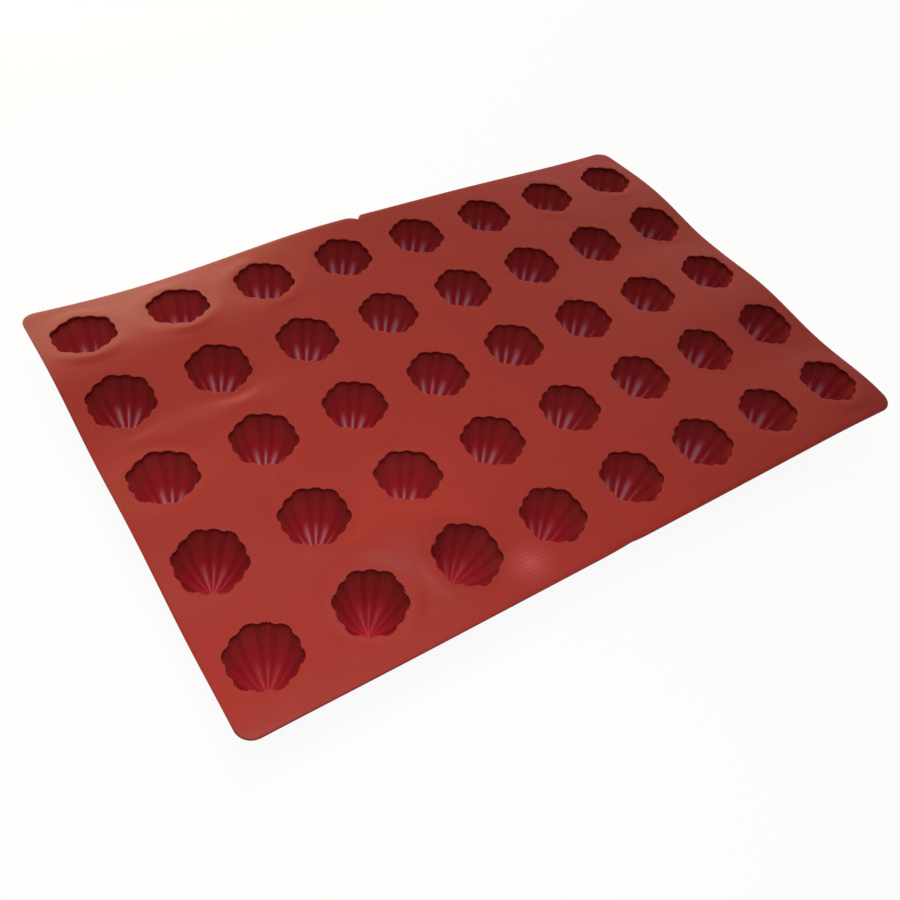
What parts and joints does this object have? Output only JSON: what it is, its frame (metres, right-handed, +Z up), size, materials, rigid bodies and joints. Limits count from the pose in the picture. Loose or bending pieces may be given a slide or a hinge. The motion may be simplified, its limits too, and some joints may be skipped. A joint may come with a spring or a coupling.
{
  "type": "silicone baking mould",
  "caption": "Flat rectangular silicone baking sheet with rows of hazelnut-shaped cups hanging below it, their lobed mouths flush with its top, and a crease across the middle where it folds.",
  "frame": {"origin": "on the table, below the middle of the sheet: the centre of the box's bottom, level with the feet of the cups", "axes": "+X along the long side, towards the right half; +Y across the sheet, towards the edge with the larger notch; +Z up, out of the mouths of the cups"},
  "size_m": [0.6, 0.4, 0.0515],
  "materials": {
    "sheet_silicone": "satin",
    "cup_silicone": "satin"
  },
  "bodies": {
    "left_half": {"sheet_left": "sheet_silicone", "cup_r1_c1": "cup_silicone", "cup_r1_c2": "cup_silicone", "cup_r1_c3": "cup_silicone", "cup_r1_c4": "cup_silicone", "cup_r2_c1": "cup_silicone", "cup_r2_c2": "cup_silicone", "cup_r2_c3": "cup_silicone", "cup_r2_c4": "cup_silicone", "cup_r3_c1": "cup_silicone", "cup_r3_c2": "cup_silicone", "cup_r3_c3": "cup_silicone", "cup_r3_c4": "cup_silicone", "cup_r4_c1": "cup_silicone", "cup_r4_c2": "cup_silicone", "cup_r4_c3": "cup_silicone", "cup_r4_c4": "cup_silicone", "cup_r5_c1": "cup_silicone", "cup_r5_c2": "cup_silicone", "cup_r5_c3": "cup_silicone", "cup_r5_c4": "cup_silicone"},
    "right_half": {"sheet_right": "sheet_silicone", "cup_r1_c5": "cup_silicone", "cup_r1_c6": "cup_silicone", "cup_r1_c7": "cup_silicone", "cup_r1_c8": "cup_silicone", "cup_r2_c5": "cup_silicone", "cup_r2_c6": "cup_silicone", "cup_r2_c7": "cup_silicone", "cup_r2_c8": "cup_silicone", "cup_r3_c5": "cup_silicone", "cup_r3_c6": "cup_silicone", "cup_r3_c7": "cup_silicone", "cup_r3_c8": "cup_silicone", "cup_r4_c5": "cup_silicone", "cup_r4_c6": "cup_silicone", "cup_r4_c7": "cup_silicone", "cup_r4_c8": "cup_silicone", "cup_r5_c5": "cup_silicone", "cup_r5_c6": "cup_silicone", "cup_r5_c7": "cup_silicone", "cup_r5_c8": "cup_silicone"}
  },
  "joints": [
    {"name": "centre_fold", "type": "hinge", "parent": "left_half", "child": "right_half", "pos_m": [0, 0, 0.0515], "axis": [0, -1, 0], "range_deg": [0, 170], "stiffness_Nm_per_rad": 0.06}
  ]
}
